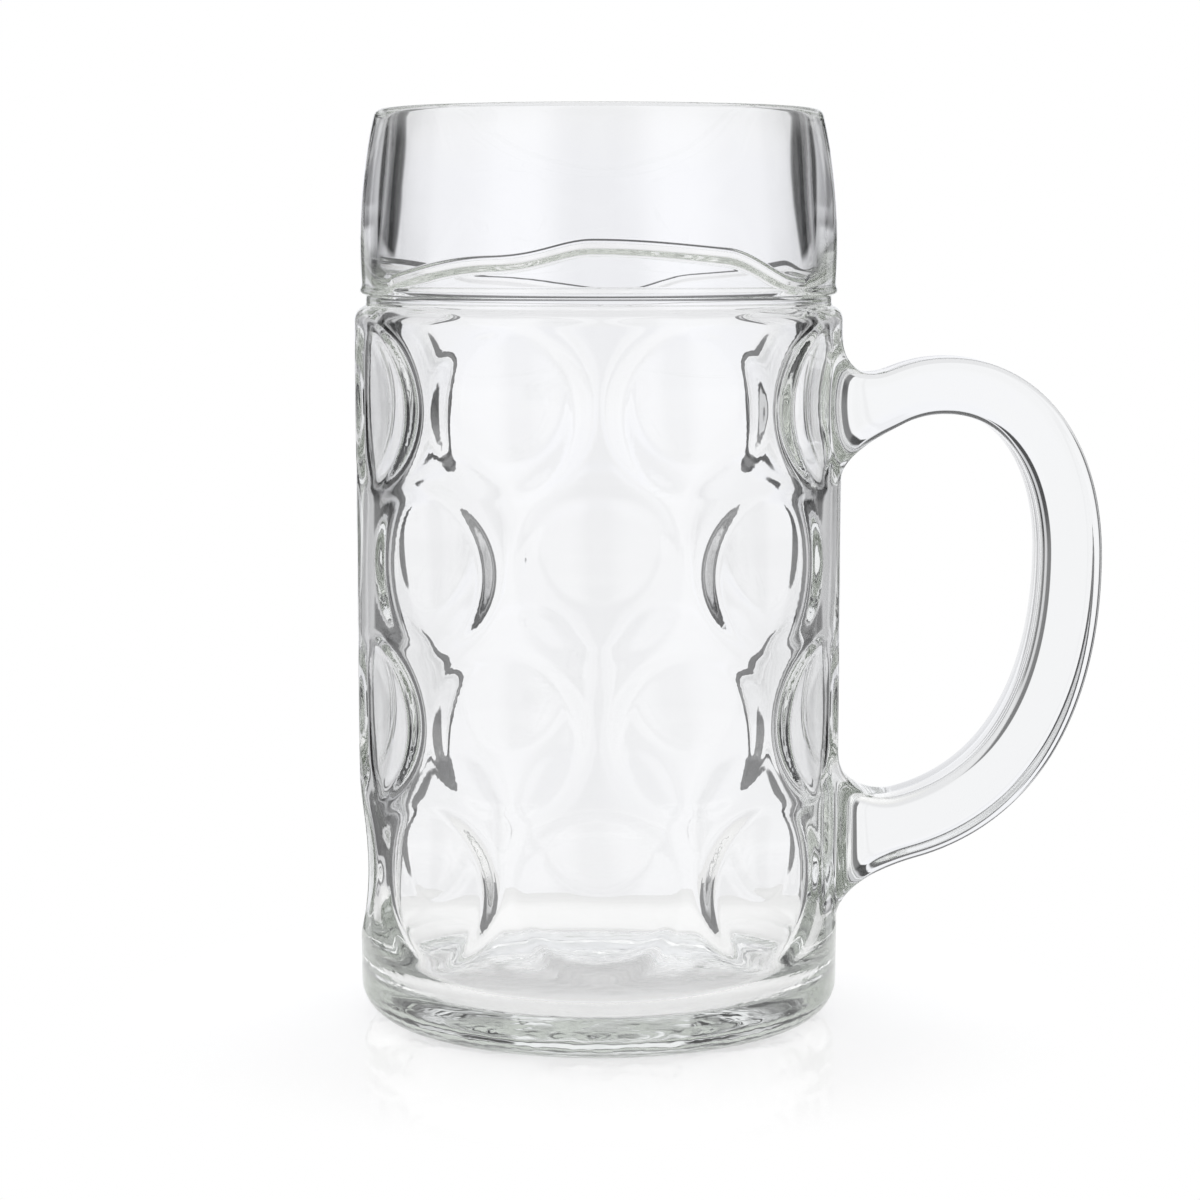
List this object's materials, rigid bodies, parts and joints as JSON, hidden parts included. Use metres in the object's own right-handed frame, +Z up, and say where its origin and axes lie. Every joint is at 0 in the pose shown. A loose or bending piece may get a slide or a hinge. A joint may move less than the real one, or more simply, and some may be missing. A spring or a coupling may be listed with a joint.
{
  "type": "beer mug",
  "caption": "Heavy clear glass beer mug with a dimpled wall, a smooth barrelled drinking band, a thick base and a loop handle on flared feet.",
  "frame": {"origin": "centre of the standing ring under the base, on the mug's axis", "axes": "+Z up along the mug's axis, +X towards the handle"},
  "size_m": [0.1659, 0.1084, 0.202],
  "materials": {
    "glass": "clear, fire polished"
  },
  "bodies": {
    "root": {"vessel": "glass", "handle": "glass"}
  },
  "joints": []
}
